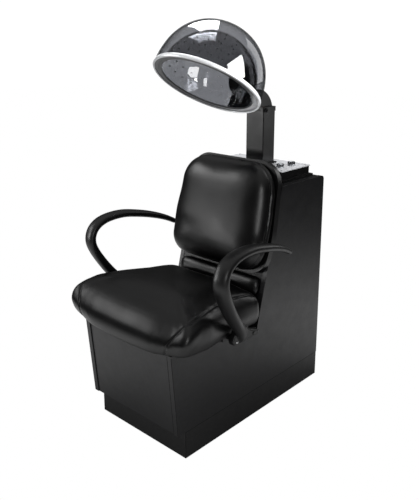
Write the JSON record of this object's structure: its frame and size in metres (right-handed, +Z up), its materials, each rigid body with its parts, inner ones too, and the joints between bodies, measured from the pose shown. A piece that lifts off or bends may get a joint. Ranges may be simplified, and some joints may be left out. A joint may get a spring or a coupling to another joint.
{
  "type": "hood hair dryer",
  "caption": "Salon dryer chair: upholstered seat and back with open-loop arms on a laminate box base, and a tilting transparent hood dryer on a duct post behind the head.",
  "frame": {"origin": "on the floor, in the middle of the chair's footprint", "axes": "+X is the sitter's left, -Y is the way the sitter faces, +Z is up"},
  "size_m": [0.7116, 0.88, 1.4476],
  "materials": {
    "laminate": "charcoal satin laminate on board",
    "plinth_laminate": "dark charcoal satin laminate on board",
    "board_core": "bare board",
    "vinyl": "glossy black upholstery vinyl over foam",
    "shell_plastic": "satin black back shell",
    "arm_urethane": "satin black urethane",
    "black_metal": "satin black powder coat",
    "chrome_plate": "bright polished chrome",
    "screw_steel": "zinc-plated steel",
    "smoked_clear": "smoked transparent polycarbonate",
    "silver_trim": "silver trim",
    "knob_black": "gloss black knob",
    "switch_black": "black switch",
    "galvanised": "galvanised sheet",
    "aluminium": "die-cast aluminium",
    "mica": "mica board",
    "resistance_wire": "resistance wire",
    "filter_foam": "open filter foam",
    "terminal_plastic": "cream terminal block",
    "friction_fibre": "friction fibre"
  },
  "bodies": {
    "cabinet": {"plinth_front": "plinth_laminate", "plinth_rear": "plinth_laminate", "plinth_side_left": "plinth_laminate", "plinth_side_right": "plinth_laminate", "side_panel_left": "laminate", "side_panel_right": "laminate", "front_panel": "laminate", "cabinet_floor": "board_core", "seat_deck": "board_core", "tower_front_board": "laminate", "tower_top_board": "laminate", "back_panel": "black_metal", "back_panel_screws": "screw_steel", "cleat_left": "board_core", "cleat_right": "board_core", "seat_board": "plinth_laminate", "seat_cushion": "vinyl", "back_shell": "shell_plastic", "back_cushion": "vinyl", "lower_back_pad": "vinyl", "arm_left": "arm_urethane", "arm_right": "arm_urethane", "arm_bolts_left": "screw_steel", "arm_bolts_right": "screw_steel", "arm_spacers_left": "black_metal", "arm_spacers_right": "black_metal", "case_flange": "black_metal", "dryer_case": "black_metal", "control_plate": "chrome_plate", "plate_screws": "screw_steel", "timer_body": "galvanised", "thermostat_body": "switch_black", "switch_housing": "switch_black", "post_duct": "black_metal", "post_collar": "black_metal", "post_foot": "black_metal", "hinge_pin": "screw_steel", "friction_disc_left": "friction_fibre", "friction_disc_right": "friction_fibre", "blower_scroll": "galvanised", "blower_motor": "aluminium", "heater_frame": "mica", "heater_coils": "resistance_wire", "thermal_cutout": "aluminium", "intake_filter": "filter_foam", "terminal_block": "terminal_plastic", "power_inlet": "switch_black"},
    "hood": {"hood_outer_shell": "smoked_clear", "hood_inner_shell": "smoked_clear", "hood_rim": "silver_trim", "hood_saddle": "black_metal", "hood_backplate": "black_metal", "saddle_screws": "screw_steel", "neck_duct": "black_metal"},
    "timer": {"timer_knob": "chrome_plate"},
    "heat": {"heat_knob": "chrome_plate"},
    "switch": {"switch_rocker": "knob_black"},
    "blower": {"fan_wheel": "galvanised", "motor_shaft": "screw_steel"}
  },
  "joints": [
    {"name": "hood_tilt", "type": "hinge", "parent": "cabinet", "child": "hood", "pos_m": [0, 0.287, 1.112], "axis": [-1, 0, 0], "range_deg": [-28, 22]},
    {"name": "timer_turn", "type": "hinge", "parent": "cabinet", "child": "timer", "pos_m": [0.122, 0.284, 0.905], "axis": [0, 0, -1], "range_deg": [0, 300]},
    {"name": "heat_turn", "type": "hinge", "parent": "cabinet", "child": "heat", "pos_m": [0.13, 0.345, 0.905], "axis": [0, 0, -1], "range_deg": [0, 270]},
    {"name": "switch_rock", "type": "hinge", "parent": "cabinet", "child": "switch", "pos_m": [0.088, 0.33, 0.9016], "axis": [0, 1, 0], "range_deg": [-7, 7]},
    {"name": "blower_spin", "type": "hinge", "parent": "cabinet", "child": "blower", "pos_m": [-0.042, 0.3, 0.69], "axis": [0, 1, 0], "continuous": true}
  ]
}
